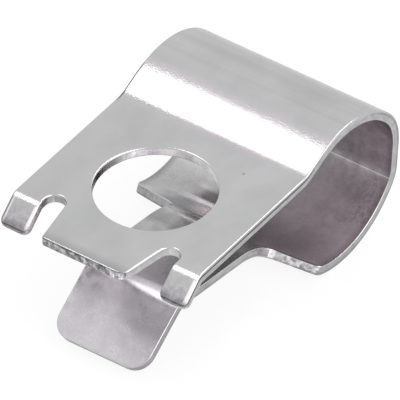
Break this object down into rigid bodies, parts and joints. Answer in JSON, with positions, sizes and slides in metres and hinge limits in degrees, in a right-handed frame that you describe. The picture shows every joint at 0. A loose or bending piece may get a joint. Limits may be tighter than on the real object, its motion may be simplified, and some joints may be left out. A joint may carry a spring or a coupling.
{
  "type": "wastegate clip",
  "caption": "Folded spring-steel strip clip: a pierced plate with bent corner tabs, an open loop behind it and a flared tongue beneath.",
  "frame": {"origin": "below the middle of the clip's box, level with the lowest point of the loop", "axes": "+Z square to the plate and out of its upper face, +Y towards the loop at the back, X across the strip"},
  "size_m": [0.015, 0.0254, 0.0114],
  "materials": {
    "spring_steel": "satin rolled stainless strip"
  },
  "bodies": {
    "root": {"clip": "spring_steel"}
  },
  "joints": []
}
